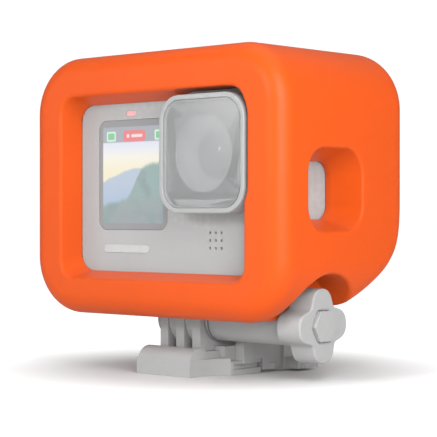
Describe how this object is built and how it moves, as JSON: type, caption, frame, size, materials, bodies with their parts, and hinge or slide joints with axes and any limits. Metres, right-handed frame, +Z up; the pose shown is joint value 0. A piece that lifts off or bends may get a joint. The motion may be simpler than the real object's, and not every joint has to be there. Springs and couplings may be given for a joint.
{
  "type": "action camera",
  "caption": "Small action camera in a thick foam float case, on a quick-release buckle with folding-finger tilt joint and long thumb screw.",
  "frame": {"origin": "centre of the part's box on the surface it stands on", "axes": "+X to the lens side, +Y to the back, +Z up; the lens looks along -Y"},
  "size_m": [0.0944, 0.054, 0.0883],
  "materials": {
    "orange_foam": "matte, closed-cell foam skin",
    "camera_shell": "fine satin texture",
    "mount_plastic": "satin moulded",
    "button_plastic": "satin",
    "dark_plastic": "matte",
    "inner_plastic": "matte",
    "seal_rubber": "matte",
    "steel": "brushed",
    "heat_sink_metal": "satin",
    "cover_glass": "clear, polished",
    "lens_glass": "coated, polished",
    "screen_glass": "polished",
    "display_panel": "glossy",
    "light_pipe": "translucent red",
    "badge_plastic": "smooth",
    "circuit_board": "solder mask",
    "battery_wrap": "smooth wrap"
  },
  "bodies": {
    "mount": {"mount_buckle": "mount_plastic", "lock_nut": "steel"},
    "left_arm": {"latch_arm_left": "mount_plastic"},
    "right_arm": {"latch_arm_right": "mount_plastic"},
    "screw_feed": {"screw_washer": "steel"},
    "screw": {"thumb_knob": "mount_plastic", "screw_sleeve": "mount_plastic", "clamp_bolt": "steel"},
    "lens_cover": {"lens_cover_frame": "camera_shell", "lens_cover_glass": "cover_glass", "lens_cover_seal": "seal_rubber"},
    "shutter": {"shutter_button": "button_plastic"},
    "mode": {"mode_button": "button_plastic"},
    "camera": {"float_case": "orange_foam", "front_housing": "camera_shell", "rear_housing": "camera_shell", "housing_gasket": "seal_rubber", "housing_screws": "steel", "finger_left": "mount_plastic", "finger_right": "mount_plastic", "finger_pins": "steel", "finger_base": "steel", "lens_boss": "camera_shell", "lens_barrel": "dark_plastic", "front_lens": "lens_glass", "rear_lens": "lens_glass", "sensor_board": "circuit_board", "main_board": "circuit_board", "heat_sink": "heat_sink_metal", "front_display": "display_panel", "front_display_window": "screen_glass", "touch_screen": "dark_plastic", "touch_screen_glass": "screen_glass", "status_light": "light_pipe", "front_badge": "badge_plastic", "microphone": "dark_plastic", "speaker": "dark_plastic", "battery": "battery_wrap", "battery_door": "button_plastic", "door_seal": "seal_rubber", "door_hinge_pin": "steel", "door_latch": "button_plastic", "usb_port": "steel", "card_slot": "steel", "memory_card": "inner_plastic", "shutter_switch": "inner_plastic", "mode_switch": "inner_plastic"}
  },
  "joints": [
    {"name": "camera_tilt", "type": "hinge", "parent": "mount", "child": "camera", "pos_m": [0, -0.00655, 0.0148], "axis": [1, 0, 0], "range_deg": [-35, 30]},
    {"name": "screw_slide", "type": "slide", "parent": "mount", "child": "screw_feed", "axis": [1, 0, 0], "range_m": [0, 0.0024]},
    {"name": "screw_turn", "type": "hinge", "parent": "screw_feed", "child": "screw", "pos_m": [0, -0.00655, 0.0148], "axis": [1, 0, 0], "range_deg": [0, 1080]},
    {"name": "left_latch", "type": "hinge", "parent": "mount", "child": "left_arm", "pos_m": [-0.0134, -0.00015, 0.005], "axis": [0, 0, -1], "range_deg": [0, 4], "stiffness_Nm_per_rad": 1.2},
    {"name": "right_latch", "type": "hinge", "parent": "mount", "child": "right_arm", "pos_m": [0.0134, -0.00015, 0.005], "axis": [0, 0, 1], "range_deg": [0, 4], "stiffness_Nm_per_rad": 1.2},
    {"name": "cover_slide", "type": "slide", "parent": "camera", "child": "lens_cover", "axis": [0, -1, 0], "range_m": [0, 0.012]},
    {"name": "shutter_press", "type": "slide", "parent": "camera", "child": "shutter", "axis": [0, 0, -1], "range_m": [0, 0.0005], "stiffness_N_per_m": 2500},
    {"name": "mode_press", "type": "slide", "parent": "camera", "child": "mode", "axis": [-1, 0, 0], "range_m": [0, 0.0004], "stiffness_N_per_m": 2000}
  ],
  "couplings": [
    {"joint": "screw_turn", "follows": "screw_slide", "rad_per_m": 7854}
  ]
}
